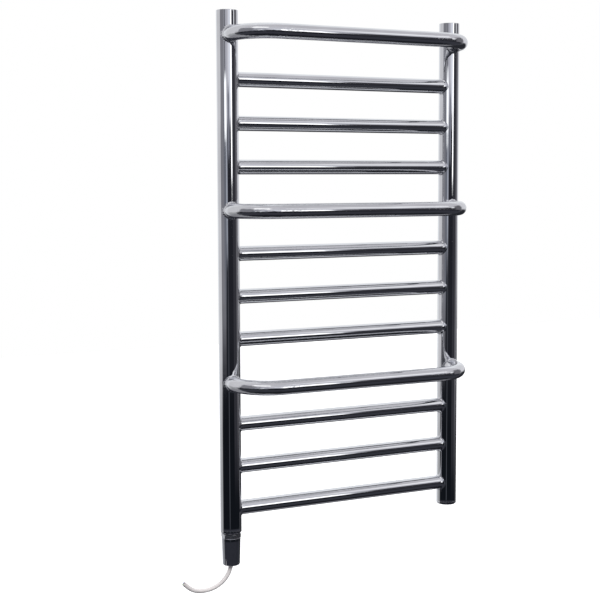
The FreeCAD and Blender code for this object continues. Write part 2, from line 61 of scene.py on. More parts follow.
def makeCamera(s):
    data = bpy.data.cameras.new("camera")
    data.lens = s["lens"]
    data.sensor_width = 36
    data.shift_x, data.shift_y = s["shift"]
    data.clip_start = 0.05
    data.clip_end = 100
    item = bpy.data.objects.new("camera", data)
    turn = Matrix.Rotation(math.radians(-s["turn"]), 4, "Z")
    tilt = Matrix.Rotation(math.radians(90 - s["dip"]), 4, "X")
    roll = Matrix.Rotation(math.radians(s["roll"]), 4, "Z")
    item.matrix_world = Matrix.Translation(s["place"]) @ turn @ tilt @ roll
    bpy.context.scene.collection.objects.link(item)
    bpy.context.scene.camera = item


makeCamera(camera)
print("camera placed")


def linear(hexText):
    # sRGB hex to the linear colour that shaders work in
    parts = [int(hexText[i:i + 2], 16) / 255 for i in (1, 3, 5)]
    return tuple(c / 12.92 if c <= 0.04045 else ((c + 0.055) / 1.055) ** 2.4 for c in parts) + (1,)


def addNode(tree, kind, inputs=None, **settings):
    # a node with its settings; inputs holds values, sockets, or nodes whose first output is linked
    node = tree.nodes.new(kind)
    for name, value in settings.items():
        setattr(node, name, value)
    for key, value in (inputs or {}).items():
        if isinstance(value, bpy.types.Node):
            value = value.outputs[0]
        if isinstance(value, bpy.types.NodeSocket):
            tree.links.new(value, node.inputs[key])
        else:
            node.inputs[key].default_value = value
    return node


def newMaterial(name, **values):
    # a Principled surface; values name its sockets, with _ for each space
    material = bpy.data.materials.new(name)
    material.use_nodes = True
    tree = material.node_tree
    tree.nodes.clear()
    shader = addNode(tree, "ShaderNodeBsdfPrincipled")
    for socket, value in values.items():
        shader.inputs[socket.replace("_", " ")].default_value = value
    addNode(tree, "ShaderNodeOutputMaterial", {"Surface": shader})
    return material, tree, shader


def darker(hexText, share):
    return "#" + "".join(f"{round(int(hexText[i:i + 2], 16) * share):02x}" for i in (1, 3, 5))


noiseMiddle = {"From Min": 0.3, "From Max": 0.7}    # the part of a noise's range that is drawn out

chrome = {
    # each pattern's feature size in millimetres, and its detail
    "patterns": {
        "slowWaves": (45, 1.0),          # the tube's own waviness
        "haze": (2.5, 4.0),              # fine polishing scratches, drawn coarser than the real ones
        "handled": (60, 3.0),            # where hands and cloths have dulled it
        "shortWaves": (6.5, 1.5),        # left where a bend or a weld was dressed by hand
        "grain": (1.1, 3.0),             # of the dressing belt, drawn coarser than it is
        "streaks": (2.0, 2.0),           # of the same belt, drawn out along the bar
    },
    "streakStretch": (0.08, 1, 1),
    "hazeDepth": 0.0008,                 # depths are in millimetres
    "dressedDepths": {"shortWaves": 0.25, "grain": 0.012, "streaks": 0.006},
    "hazeSpan": (0.15, 0.4),             # this part of the haze's range is drawn out to
    "hazeRoughness": (0.6, 1.8),         # these shares of the finish's roughness
    "grainRoughness": (0.03, 0.16),      # added where it is dressed
    "dulled": 0.95,                      # brightness of the dulled patches
}


def chromePlate(s, name, colour, roughness, waveDepth):
    # Polished tube plated with nickel and chrome: a cold mirror. The tube's slow waviness bends long
    # reflections, and the polishing leaves a haze of fine scratches. Bends and weld ends are dressed by
    # hand, which the piece's own "dressed" attribute marks from 0 to 1: there the waves are short, and the
    # grain of the belt still shows through the plate.
    material, tree, shader = newMaterial(name, Metallic=1.0, Base_Color=linear(colour))
    place = addNode(tree, "ShaderNodeTexCoord").outputs["Object"]
    dressed = addNode(tree, "ShaderNodeAttribute", attribute_name="dressed").outputs["Fac"]
    along = addNode(tree, "ShaderNodeMapping", {"Vector": place, "Scale": s["streakStretch"]})
    noise = {}
    for label, (size, detail) in s["patterns"].items():
        noise[label] = addNode(tree, "ShaderNodeTexNoise", {
            "Vector": along if label == "streaks" else place, "Scale": 1000 / size, "Detail": detail,
        })

    hazed = addNode(tree, "ShaderNodeMath", {0: noise["haze"], 1: noise["handled"]}, operation="MULTIPLY")
    plain = addNode(tree, "ShaderNodeMapRange", {
        "Value": hazed, "From Min": s["hazeSpan"][0], "From Max": s["hazeSpan"][1],
        "To Min": roughness * s["hazeRoughness"][0], "To Max": roughness * s["hazeRoughness"][1],
    })
    belt = addNode(tree, "ShaderNodeMapRange", {
        "Value": noise["grain"], **noiseMiddle,
        "To Min": s["grainRoughness"][0], "To Max": s["grainRoughness"][1],
    })
    rough = addNode(tree, "ShaderNodeMath", {0: dressed, 1: belt, 2: plain}, operation="MULTIPLY_ADD")
    tree.links.new(rough.outputs[0], shader.inputs["Roughness"])

    dulled = addNode(tree, "ShaderNodeMapRange", {"Value": noise["handled"], **noiseMiddle})
    tone = addNode(tree, "ShaderNodeMix", {
        0: dulled, 6: linear(colour), 7: linear(darker(colour, s["dulled"])),
    }, data_type="RGBA")
    tree.links.new(tone.outputs[2], shader.inputs["Base Color"])

    normal = addNode(tree, "ShaderNodeBump", {"Height": noise["slowWaves"], "Distance": waveDepth / 1000})
    normal = addNode(tree, "ShaderNodeBump", {
        "Height": noise["haze"], "Distance": s["hazeDepth"] / 1000, "Normal": normal,
    })
    for label, depth in s["dressedDepths"].items():
        height = addNode(tree, "ShaderNodeMath", {0: dressed, 1: noise[label]}, operation="MULTIPLY")
        normal = addNode(tree, "ShaderNodeBump", {
            "Height": height, "Distance": depth / 1000, "Normal": normal,
        })
    tree.links.new(normal.outputs[0], shader.inputs["Normal"])
    return material


surface = {
    "patches": 12,                # how many grains wide a patch of the second shade is
    "detail": (4.0, 2.0),         # of the grain and the patches
    "gloss": (0.8, 1.25),         # shares of the roughness between which the grain moves it
}


def surfaceLook(s, name, colour, roughness, grain, depth, shade, stretch=(1, 1, 1), **values):
    # a surface with patches of a second shade, and a grain that shows in its height and its gloss; the
    # grain's width and depth are in millimetres
    material, tree, shader = newMaterial(name, **values)
    place = addNode(tree, "ShaderNodeTexCoord").outputs["Object"]
    place = addNode(tree, "ShaderNodeMapping", {"Vector": place, "Scale": stretch})
    fine, patchy = (
        addNode(tree, "ShaderNodeTexNoise", {"Vector": place, "Scale": 1000 / size, "Detail": detail})
        for size, detail in zip((grain, grain * s["patches"]), s["detail"])
    )
    second = addNode(tree, "ShaderNodeMapRange", {"Value": patchy, **noiseMiddle})
    tone = addNode(tree, "ShaderNodeMix", {
        0: second, 6: linear(colour), 7: linear(darker(colour, shade)),
    }, data_type="RGBA")
    tree.links.new(tone.outputs[2], shader.inputs["Base Color"])
    gloss = addNode(tree, "ShaderNodeMapRange", {
        "Value": fine, **noiseMiddle,
        "To Min": roughness * s["gloss"][0], "To Max": roughness * s["gloss"][1],
    })
    tree.links.new(gloss.outputs[0], shader.inputs["Roughness"])
    normal = addNode(tree, "ShaderNodeBump", {"Height": fine, "Distance": depth / 1000})
    tree.links.new(normal.outputs[0], shader.inputs["Normal"])
    return material


looks = {
    # tubes, bars, discs, bushes and bosses: chrome over well polished steel, which mirrors the room
    "bright_chrome": chromePlate(
        chrome, "bright chrome plate on polished steel tube", "#edeef1", roughness=0.03, waveDepth=0.14),
    # cover: chrome over turned and less polished brass, so its reflections are a little soft
    "cover_chrome": chromePlate(
        chrome, "bright chrome plate on turned brass", "#d2d4d9", roughness=0.09, waveDepth=0.05),
    # element head: machined brass with bare nickel, greyer and duller than chrome, with turning marks
    "nickel_head": surfaceLook(
        surface, "nickel plate on machined brass", "#cbccd0", roughness=0.26, grain=0.6, depth=0.010,
        shade=0.93, stretch=(1, 1, 6), Metallic=1.0),
    # washer: pressed fibre, matt, nearly black, with a felt-like tooth
    "seal_fibre": surfaceLook(
        surface, "pressed fibre washer", "#2c2b2d", roughness=0.75, grain=0.9, depth=0.06, shade=0.8),
    # sheath: drawn stainless tube, whose draw marks run along it
    "element_steel": surfaceLook(
        surface, "drawn stainless tube", "#b9b7b3", roughness=0.30, grain=0.8, depth=0.008, shade=0.92,
        stretch=(4, 4, 0.1), Metallic=1.0),
    # filling and bead: pressed mineral powder, chalk white with a fine crumb
    "magnesia": surfaceLook(
        surface, "pressed magnesia", "#e4e1d8", roughness=0.90, grain=0.7, depth=0.08, shade=0.93),
    # coil: drawn resistance wire, grey from its oxide
    "heating_wire": surfaceLook(
        surface, "oxidised resistance wire", "#8b8681", roughness=0.42, grain=0.7, depth=0.010, shade=0.8,
        Metallic=1.0),
    # pins and tag: drawn brass, yellow with a soft satin gloss
    "brass_pin": surfaceLook(
        surface, "drawn brass", "#c9a765", roughness=0.28, grain=0.8, depth=0.008, shade=0.88,
        stretch=(3, 3, 0.2), Metallic=1.0),
    # terminal block, cut-out and cord lock: moulded polyamide, off white with a spark-eroded mould's tooth
    "terminal_plastic": surfaceLook(
        surface, "moulded polyamide", "#d9d7d1", roughness=0.48, grain=1.0, depth=0.030, shade=0.96),
    # O-ring: nitrile rubber, black with a dusty sheen
    "black_rubber": surfaceLook(
        surface, "moulded nitrile rubber", "#29292b", roughness=0.62, grain=0.8, depth=0.020, shade=0.85,
        Sheen_Weight=0.15),
    # grommet: grey moulded elastomer, matt with a faint tooth
    "grommet_grey": surfaceLook(
        surface, "moulded grey elastomer", "#a6a3a2", roughness=0.58, grain=0.9, depth=0.025, shade=0.92),
    # sheath of the cord: extruded soft vinyl, satin, with faint lumps from the cores under it
    "cord_grey": surfaceLook(
        surface, "extruded soft vinyl sheath", "#e6e1df", roughness=0.38, grain=1.6, depth=0.030, shade=0.94,
        Coat_Weight=0.08),
}
for label, colour in (("brown", "#6a4330"), ("blue", "#3a66b0"), ("green", "#5c9a42")):
    # cores: extruded insulation, smooth with a soft gloss
    looks[f"core_{label}"] = surfaceLook(
        surface, f"extruded {label} insulation", colour, roughness=0.35, grain=1.2, depth=0.010, shade=0.9)

slotOf = {row["node"]: row["material_slot"] for row in frame["record"]["subparts"]}
for name, node in frame["nodes"].items():
    node.data.materials.clear()
    node.data.materials.append(looks[slotOf[name]])
print("materials made:", len(looks))


bpy.context.scene.view_settings.view_transform = "Standard"

studio = {
    "floor": -2.4,
    "floorReach": 15,            # half its side
    "floorColour": "#f4f4f4",
    "floorGlow": 0.75,
    "overhead": "#c8c7cc",
    # What stands round the rack, painted one over another: azimuth from straight in front of the rack
    # towards its right, elevation, half its width, half its height, the softness of its edges across and
    # up, its colour, and its brightness. The first six are degrees.
    "cards": (
        (180, 0, 70, 90, 26, 10, "#eef0f3", 1.0),      # pale wall behind
        (-128, 10, 26, 60, 24, 12, "#d2d2d5", 1.0),    # grey wall behind on the left
        (-120, -30, 34, 18, 24, 8, "#a6a7a9", 1.0),    # its lower part
        (165, -56, 80, 30, 24, 14, "#8a8a8f", 1.0),    # floor behind
        (114, 12, 20, 20, 10, 12, "#dddde1", 1.0),     # pale wall at the right
        (132, -28, 36, 22, 12, 10, "#2a2b30", 1.0),    # dark furniture under it
        (-8, -47, 94, 50, 14, 2.5, "#24252b", 1.0),    # dark room in front, below eye level
        (-8, -52, 104, 42, 16, 6, "#13161b", 1.0),     # its floor
        (-8, -59, 104, 40, 16, 4, "#37383f", 1.0),     # the floor's nearer, lighter part
        (-8, -80, 104, 30, 30, 10, "#1d1f24", 1.0),    # and what lies under the rack
        (-29, -9, 4, 9, 4, 5, "#474a50", 1.0),         # a chair back, faint
        (-76, 13, 23, 21, 7, 6, "#828288", 1.0),       # grey wall at the left
        (-36, -0.5, 8, 3, 8, 3, "#a9adb8", 1.0),       # a worktop's pale edge
        (-56, -1, 10, 5, 8, 4, "#6f727b", 1.0),        # the front under it
        (-12, 23, 46, 20, 3, 2.5, "#b4b4bd", 1.0),     # lit wall in front
        (-48, 10, 7, 7.5, 3, 4, "#73747a", 1.0),       # a wall rail's shadow
        (5, 23, 27, 19.5, 8, 2, "#cdcdd4", 1.0),       # the part of it nearest the window
        (50, 0, 24, 14, 2.5, 5, "#36363c", 1.0),       # dark doorway
        (80, 8, 15, 20, 6, 8, "#6c6b70", 1.0),         # its side wall
        (39, 33, 9, 8, 6, 6, "#fafafd", 1.0),          # lit ceiling above the door
        (-42, 41, 26, 9, 4, 3, "#ffffff", 1.15),       # large soft box, high on the left
        (-44, 3.4, 11, 1.5, 4, 1, "#fbfdff", 1.4),     # lamp at the left
        (9, 9.3, 17, 6, 2, 1.4, "#e6e9f2", 1.0),       # low window in front
        (19.5, 7.6, 6, 8, 0.8, 1.0, "#ffffff", 1.7),   # its bright pane
        (55, 12.5, 5, 6, 2, 1, "#f4f5f8", 1.0),        # a lit doorway beyond it
        (-12, 2.6, 9, 1.6, 6, 1.2, "#7f818c", 1.0),    # a dark sill at its left
    ),
    # soft lamps for what isn't mirror bright: place, size, power
    "lamps": (
        ((-1.5, -1.7, 1.5), 1.3, 46),
        ((1.7, -1.3, 0.4), 1.1, 16),
        ((0.2, 1.6, 0.9), 1.2, 14),
    ),
}


def makeWorld(s):
    world = bpy.data.worlds.new("studio")
    bpy.context.scene.world = world
    world.use_nodes = True
    tree = world.node_tree
    tree.nodes.clear()

    place = addNode(tree, "ShaderNodeTexCoord").outputs["Generated"]
    x, y, z = addNode(tree, "ShaderNodeSeparateXYZ", {0: place}).outputs
    forward = addNode(tree, "ShaderNodeMath", {0: y, 1: -1.0}, operation="MULTIPLY")
    turn = addNode(tree, "ShaderNodeMath", {0: x, 1: forward}, operation="ARCTAN2")
    rise = addNode(tree, "ShaderNodeMath", {0: z}, operation="ARCSINE")
    azimuth = addNode(tree, "ShaderNodeMath", {0: turn}, operation="DEGREES")
    elevation = addNode(tree, "ShaderNodeMath", {0: rise}, operation="DEGREES")

    light = linear(s["overhead"])
    for at, up, halfWide, halfHigh, softWide, softHigh, colour, level in s["cards"]:
        directions = ((azimuth, at, halfWide, softWide), (elevation, up, halfHigh, softHigh))
        within = []
        for angle, middle, half, soft in directions:
            away = addNode(tree, "ShaderNodeMath", {0: angle, 1: middle}, operation="SUBTRACT")
            away = addNode(tree, "ShaderNodeMath", {0: away, 1: 180.0, 2: -180.0}, operation="WRAP")
            away = addNode(tree, "ShaderNodeMath", {0: away}, operation="ABSOLUTE")
            within.append(addNode(tree, "ShaderNodeMapRange", {
                "Value": away, "From Min": half - soft / 2, "From Max": half + soft / 2,
                "To Min": 1.0, "To Max": 0.0,
            }, interpolation_type="SMOOTHSTEP"))
        inside = addNode(tree, "ShaderNodeMath", {0: within[0], 1: within[1]}, operation="MULTIPLY")
        painted = tuple(part * level for part in linear(colour)[:3]) + (1,)
        light = addNode(tree, "ShaderNodeMix", {0: inside, 6: light, 7: painted}, data_type="RGBA").outputs[2]
    seen = addNode(tree, "ShaderNodeLightPath").outputs["Is Camera Ray"]
    shown = addNode(tree, "ShaderNodeMix", {0: seen, 6: light, 7: (1, 1, 1, 1)}, data_type="RGBA").outputs[2]
    glow = addNode(tree, "ShaderNodeBackground", {"Color": shown, "Strength": 1.0})
    addNode(tree, "ShaderNodeOutputWorld", {"Surface": glow})


def makeFloor(s):
    mesh = bpy.data.meshes.new("floor")
    form = bmesh.new()
    bmesh.ops.create_grid(form, x_segments=1, y_segments=1, size=s["floorReach"])
    form.to_mesh(mesh)
    form.free()
    mesh.transform(Matrix.Translation((0, 0, s["floor"])))
    item = bpy.data.objects.new("floor", mesh)
    bpy.context.scene.collection.objects.link(item)
    material = newMaterial("pale floor", Base_Color=linear(s["floorColour"]), Roughness=0.9,
                           Emission_Color=(1, 1, 1, 1), Emission_Strength=s["floorGlow"])[0]
    mesh.materials.append(material)
    item.visible_glossy = False    # the rack's own reflections are of the dome alone
    item.visible_diffuse = False


def makeLamps(s):
    for number, (place, size, power) in enumerate(s["lamps"], start=1):
        data = bpy.data.lights.new(f"lamp{number}", "AREA")
        data.shape = "DISK"
        data.size = size
        data.energy = power
        item = bpy.data.objects.new(f"lamp{number}", data)
        item.location = place
        item.rotation_euler = Vector(place).to_track_quat("Z", "Y").to_euler()
        item.visible_glossy = False    # the chrome sees the dome only
        bpy.context.scene.collection.objects.link(item)


makeWorld(studio)
makeFloor(studio)
makeLamps(studio)
print("studio lit")


def around(count):
    # equal angles once round a circle
    return [2 * math.pi * i / count for i in range(count)]


def skinned(name, rings, loop=False, sharp=40, dressed=None):
    # A mesh through equal rings of points, in millimetres. Open ends are closed with a fan, corners of more
    # than sharp degrees stay crisp, and dressed gives each ring's share of hand polishing.
    count = len(rings[0])
    points = [point for ring in rings for point in ring]
    faces = []
    pairs = list(zip(range(len(rings)), range(1, len(rings))))
    if loop:
        pairs.append((len(rings) - 1, 0))
    for low, high in pairs:
        for i in range(count):
            j = (i + 1) % count
            faces.append((low * count + i, low * count + j, high * count + j, high * count + i))
    if not loop:
        for ring, base in ((rings[0], 0), (rings[-1], (len(rings) - 1) * count)):
            centre = len(points)
            points.append(tuple(sum(p[axis] for p in ring) / count for axis in range(3)))
            for i in range(count):
                j = (i + 1) % count
                faces.append((base + j, base + i, centre) if base == 0 else (base + i, base + j, centre))
    mesh = bpy.data.meshes.new(name)
    mesh.from_pydata([tuple(c / 1000 for c in point) for point in points], [], faces)
    if dressed:
        shares = [share for share in dressed for _ in range(count)]
        shares += [dressed[-1]] * (len(points) - len(shares))
        mesh.attributes.new("dressed", "FLOAT", "POINT").data.foreach_set("value", shares)
    form = bmesh.new()
    form.from_mesh(mesh)
    bmesh.ops.remove_doubles(form, verts=form.verts, dist=1e-7)
    bmesh.ops.recalc_face_normals(form, faces=form.faces)
    form.to_mesh(mesh)
    form.free()
    mesh.polygons.foreach_set("use_smooth", [True] * len(mesh.polygons))
    mesh.set_sharp_from_angle(angle=math.radians(sharp))
    return mesh


def rounded(corners, steps=5):
    # a closed outline of (radius, height, rounding) corners, with each rounding drawn as an arc
    outline = []
    for i, (r, z, rounding) in enumerate(corners):
        here = Vector((r, z))
        if rounding == 0:
            outline.append((r, z))
            continue
        before = (Vector(corners[i - 1][:2]) - here).normalized()
        after = (Vector(corners[(i + 1) % len(corners)][:2]) - here).normalized()
        half = before.angle(after) / 2
        reach = rounding / math.tan(half)
        centre = here + (before + after).normalized() * (rounding / math.sin(half))
        start, end = here + before * reach - centre, here + after * reach - centre
        swing = start.angle_signed(end)
        for step in range(steps + 1):
            turn = -swing * step / steps
            spot = centre + Matrix.Rotation(turn, 2) @ start
            outline.append((spot.x, spot.y))
    return outline


def lathed(name, corners, axis, segments=96, sharp=40, shape=None, share=None):
    # A solid turned about a vertical axis: a ring, or closed where its outline ends on the axis. shape may
    # press a radius in at an angle, and share gives each height's dressing.
    shape = shape or (lambda r, z, turn: r)
    rings = []
    for r, z in rounded(corners):
        ring = []
        for turn in around(segments):
            reach = shape(r, z, turn)
            ring.append((axis[0] + reach * math.cos(turn), axis[1] + reach * math.sin(turn), z))
        rings.append(ring)
    dressed = [share(ring[0][2]) for ring in rings] if share else None
    return skinned(name, rings, loop=corners[0][0] > 0, sharp=sharp, dressed=dressed)


def hexagonal(width):
    # a shape for lathed, which presses a radius in to a hexagon's sides, with flats facing along X
    def shape(r, height, turn):
        offset = (turn + math.pi / 6) % (math.pi / 3) - math.pi / 6
        return min(r, width / 2 / math.cos(offset))
    return shape


def fade(distance, reach):
    # 1 at no distance, falling smoothly to 0 at reach
    part = max(0.0, 1 - abs(distance) / reach)
    return part * part * (3 - 2 * part)


def keepPiece(name, mesh, slot, nodes=()):
    # a finished piece, with its finish and the CAD nodes that it stands for
    item = bpy.data.objects.new(name, mesh)
    bpy.context.scene.collection.objects.link(item)
    if not mesh.materials:
        mesh.materials.append(looks[slot])
    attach(item, "root")
    if nodes:
        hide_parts(*nodes)
    return item


# a CAD node's middle, its lowest and highest point, and its radius, in millimetres
def middleOf(node):
    low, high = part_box(node)
    return (low + high) * 500


def ends(node):
    low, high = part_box(node)
    return low.z * 1000, high.z * 1000


def radiusOf(node):
    low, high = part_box(node)
    return (high.y - low.y) * 500


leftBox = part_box("left_upright")
upright = {
    "radius": (leftBox[1].x - leftBox[0].x) * 500,
    "foot": leftBox[0].z * 1000,
    "top": leftBox[1].z * 1000,
    "wall": 1.5,
    "edge": 0.25,
    "seam": 0.06,            # outer edge at the foot, where the end bush's flange carries on
    "segments": 128,
    "rings": 180,
    "dressedReach": 26,      # hand polishing above and below a towel bar's weld
    "dressedShare": 0.2,
}
leftAxis = middleOf("left_upright").to_2d()
rightAxis = middleOf("right_upright").to_2d()
towelRows = [middleOf(f"towel_bar_{label}").z for label in ("top", "middle", "lower")]


def makeUpright(s, name, axis, node):
    outer, inner = s["radius"], s["radius"] - s["wall"]
    foot, top = s["foot"], s["top"]
    corners = [(outer, foot, s["seam"])]
    for step in range(1, s["rings"]):
        corners.append((outer, foot + (top - foot) * step / s["rings"], 0))
    corners += [(outer, top, s["edge"]), (inner, top, s["edge"]), (inner, foot, s["edge"])]

    def share(height):
        return max(s["dressedShare"] * fade(height - row, s["dressedReach"]) for row in towelRows)

    keepPiece(name, lathed(name, corners, axis, s["segments"], share=share), "bright_chrome", (node,))


makeUpright(upright, "leftUpright", leftAxis, "left_upright")
makeUpright(upright, "rightUpright", rightAxis, "right_upright")
print("uprights made")


bar = {
    "radius": 11,
    "segments": 96,
    "towelBarSegments": 176,
    "straightRings": 60,
    "rows": 12,
    "pitch": 64,
    "towelStep": 4,           # rows from one towel bar to the next
    "towelBarLeg": 3,         # straight part between the upright and the bend
    "towelBarBend": 55,
    "bendSteps": 28,
    "sunk": 0.8,              # how far a bar's end reaches into the upright's wall
    "clearOfFillet": 1,       # from a crossbar's fillet to its first plain ring
    "crossbarFillet": 2.4,
    "towelBarFillet": 2.5,
    "filletSteps": 8,
    "ripple": 0.14,           # height of a towel bar's weld waves
    "ripples": 22,            # and how many go round the bar
    "crossbarDressed": 16,    # hand polishing from a weld along the bar
    "crossbarShare": 0.8,
    "bendDressed": 50,        # and from the end of a bend along the straight part
}


def footRings(s, fillet, segments, ripple=0):
    # Rings in the corner between an upright's side and a bar that leaves it along +X. Each ring is a list of
    # (reach from the upright's axis, bar radius, angle), from inside the wall out to the plain bar. ripple is
    # the height of the waves that the weld's run left round the corner.
    post, steps = upright["radius"], s["filletSteps"]
    rings = []
    for step in range(-1, steps + 1):
        turn = math.pi / 2 * (1 - max(step, 0) / steps)
        wave = ripple * math.sin(math.pi * max(step, 0) / steps)
        ring = []
        for angle in around(segments):
            arc = fillet - wave * math.sin(s["ripples"] * angle)
            lift = fillet - arc * math.sin(turn) if step >= 0 else -s["sunk"]
            r = s["radius"] + fillet - arc * math.cos(turn)
            ring.append((math.sqrt(post**2 - (r * math.cos(angle))**2) + lift, r, angle))
        rings.append(ring)
    return rings


def makeCrossbarMesh(s):
    # one crossbar about the row's own centre, along X
    half, post = rightAxis.x, upright["radius"]
    foot = footRings(s, s["crossbarFillet"], s["segments"])
    left = [[(x - half, r * math.cos(a), r * math.sin(a)) for x, r, a in ring] for ring in foot]
    right = [[(half - x, r * math.cos(a), r * math.sin(a)) for x, r, a in ring] for ring in reversed(foot)]
    reach = half - post - s["crossbarFillet"] - s["clearOfFillet"]
    section = [(s["radius"] * math.cos(a), s["radius"] * math.sin(a)) for a in around(s["segments"])]
    middle = []
    for step in range(s["straightRings"] + 1):
        x = reach * (2 * step / s["straightRings"] - 1)
        middle.append([(x, y, z) for y, z in section])
    rings = left + middle + right
    dressed = []
    for ring in rings:
        dressed.append(s["crossbarShare"] * fade(half - abs(ring[0][0]) - post, s["crossbarDressed"]))
    return skinned("crossbar", rings, dressed=dressed)


def newTree(name, *inputs):
    # a Geometry Nodes tree with one result, and its inputs by name
    tree = bpy.data.node_groups.new(name, "GeometryNodeTree")
    for label, kind in inputs:
        tree.interface.new_socket(label, in_out="INPUT", socket_type="NodeSocket" + kind)
    tree.interface.new_socket("Result", in_out="OUTPUT", socket_type="NodeSocketGeometry")
    return tree, addNode(tree, "NodeGroupInput").outputs


def setAtPoints(tree, points, part, finish):
    # ends the tree: the part at each point, made real, in its finish
    placed = addNode(tree, "GeometryNodeInstanceOnPoints", {"Points": points, "Instance": part})
    real = addNode(tree, "GeometryNodeRealizeInstances", {"Geometry": placed})
    finished = addNode(tree, "GeometryNodeSetMaterial", {"Geometry": real, "Material": finish})
    addNode(tree, "NodeGroupOutput", {"Result": finished})


def makeRowsTree():
    # sets its input's bar at each row that isn't a towel bar's
    tree, given = newTree("crossbar rows", ("Bar", "Geometry"), ("Rows", "Int"), ("Pitch", "Float"),
                          ("Towel bar every", "Int"), ("Depth", "Float"), ("Finish", "Material"))
    gaps = addNode(tree, "ShaderNodeMath", {0: given["Rows"], 1: 1.0}, operation="SUBTRACT")
    span = addNode(tree, "ShaderNodeMath", {0: gaps, 1: given["Pitch"]}, operation="MULTIPLY")
    top = addNode(tree, "ShaderNodeMath", {0: span, 1: 0.5}, operation="MULTIPLY")
    drop = addNode(tree, "ShaderNodeMath", {0: given["Pitch"], 1: -1.0}, operation="MULTIPLY")
    start = addNode(tree, "ShaderNodeCombineXYZ", {"Y": given["Depth"], "Z": top})
    step = addNode(tree, "ShaderNodeCombineXYZ", {"Z": drop})
    rows = addNode(tree, "GeometryNodeMeshLine", {
        "Count": given["Rows"], "Start Location": start, "Offset": step,
    })
    number = addNode(tree, "GeometryNodeInputIndex")
    cycle = addNode(tree, "ShaderNodeMath", {0: number, 1: given["Towel bar every"]}, operation="MODULO")
    isTowelRow = addNode(tree, "ShaderNodeMath", {0: cycle, 1: 0.5}, operation="LESS_THAN")
    kept = addNode(tree, "GeometryNodeDeleteGeometry", {
        "Geometry": rows, "Selection": isTowelRow,
    }, domain="POINT")
    setAtPoints(tree, kept, given["Bar"], given["Finish"])
    return tree


def repeated(name, mesh, tree, values):
    # the tree run on the mesh, with its inputs set by name, as one plain mesh
    source = bpy.data.objects.new(name + "Source", mesh)
    bpy.context.scene.collection.objects.link(source)
    modifier = source.modifiers.new(name, "NODES")
    modifier.node_group = tree
    for socket in tree.interface.items_tree:
        if socket.in_out == "INPUT" and socket.name in values:
            modifier[socket.identifier] = values[socket.name]
    source.update_tag()
    graph = bpy.context.evaluated_depsgraph_get()
    result = bpy.data.meshes.new_from_object(source.evaluated_get(graph))
    result.name = name
    bpy.data.objects.remove(source)
    return result


def makeCrossbars(s):
    mesh = repeated("crossbars", makeCrossbarMesh(s), makeRowsTree(), {
        "Rows": s["rows"], "Pitch": s["pitch"] / 1000, "Towel bar every": s["towelStep"],
        "Depth": leftAxis.y / 1000, "Finish": looks["bright_chrome"],
    })
    nodes = [name for name in frame["nodes"] if name.startswith("crossbar_")]
    keepPiece("crossbars", mesh, "bright_chrome", nodes)


def makeTowelBar(s, name, node):
    # a tube that leaves the left upright forwards, bends to run across, and bends back into the right one
    depth, height = leftAxis.y, middleOf(node).z
    half, bend = rightAxis.x, s["towelBarBend"]
    straight = upright["radius"] + s["towelBarLeg"]
    path = []
    for step in range(s["bendSteps"] + 1):
        turn = math.pi / 2 * step / s["bendSteps"]
        path.append((-half + bend * (1 - math.cos(turn)), depth - straight - bend * math.sin(turn), turn))
    for step in range(1, s["straightRings"]):
        x = (half - bend) * (2 * step / s["straightRings"] - 1)
        path.append((x, depth - straight - bend, math.pi / 2))
    for step in range(s["bendSteps"] + 1):
        turn = math.pi / 2 * (1 + step / s["bendSteps"])
        path.append((half - bend * (1 + math.cos(turn)), depth - straight - bend * math.sin(turn), turn))

    foot = footRings(s, s["towelBarFillet"], s["towelBarSegments"], s["ripple"])
    rings = []
    for ring in foot:
        rings.append([(-half + r * math.cos(a), depth - x, height + r * math.sin(a)) for x, r, a in ring])
    for x, y, turn in path:
        # the section's own right-hand side turns from +X at the left foot to -X at the right one
        ring = []
        for angle in around(s["towelBarSegments"]):
            side, up = s["radius"] * math.cos(angle), s["radius"] * math.sin(angle)
            ring.append((x + side * math.cos(turn), y + side * math.sin(turn), height + up))
        rings.append(ring)
    for ring in reversed(foot):
        rings.append([(half - r * math.cos(a), depth - x, height + r * math.sin(a)) for x, r, a in ring])
    dressed = []
    for ring in rings:
        x = sum(point[0] for point in ring) / len(ring)
        dressed.append(fade(max(0.0, half - bend - abs(x)), s["bendDressed"]))
    keepPiece(name, skinned(name, rings, dressed=dressed), "bright_chrome", (node,))


makeCrossbars(bar)
for label in ("top", "middle", "lower"):
    makeTowelBar(bar, f"{label}TowelBar", f"towel_bar_{label}")
print("bars made")


fittings = {
    "softEdge": 0.3,
    "capEdge": 0.45,
    "port": 10.5,
    "spigot": 14.4,
    "flange": 4.5,
    "chamfer": 1.2,
    "seam": 0.06,             # edge where the flange meets its tube, nearly lost under the plating
    "plugSocket": 10,
    "plugSocketDepth": 6,
    "bossHole": 3.4,
    "bossThread": 3.9,
    "bossHoleDepth": 9.5,
    "bossSegments": 48,
    "threadPitch": 1.25,
    "hexagon": 26,
    "hexChamfer": 1,
    "headBore": 5.1,
    "shank": 10.4,
    "sealEdge": 0.35,         # share of the washer's height that each edge's rounding takes
    "coverTaper": 1.25,       # how much narrower its foot is than its rim
    "coverWall": 1.5,
    "coverFloor": 2.5,
    "coverFootEdge": 2.2,
    "coverRings": 8,
    "coverSegments": 128,
    "grommetBore": 3.3,
    "grommetWaist": 5.0,
    "grommetGap": 0.05,
}


def makeTopCap(s, name, axis, node):
    foot, top = ends(node)
    r = radiusOf(node)
    corners = [(0, foot, 0), (r, foot, 0), (r, top, s["capEdge"]), (0, top, 0)]
    keepPiece(name, lathed(name, corners, axis), "bright_chrome", (node,))


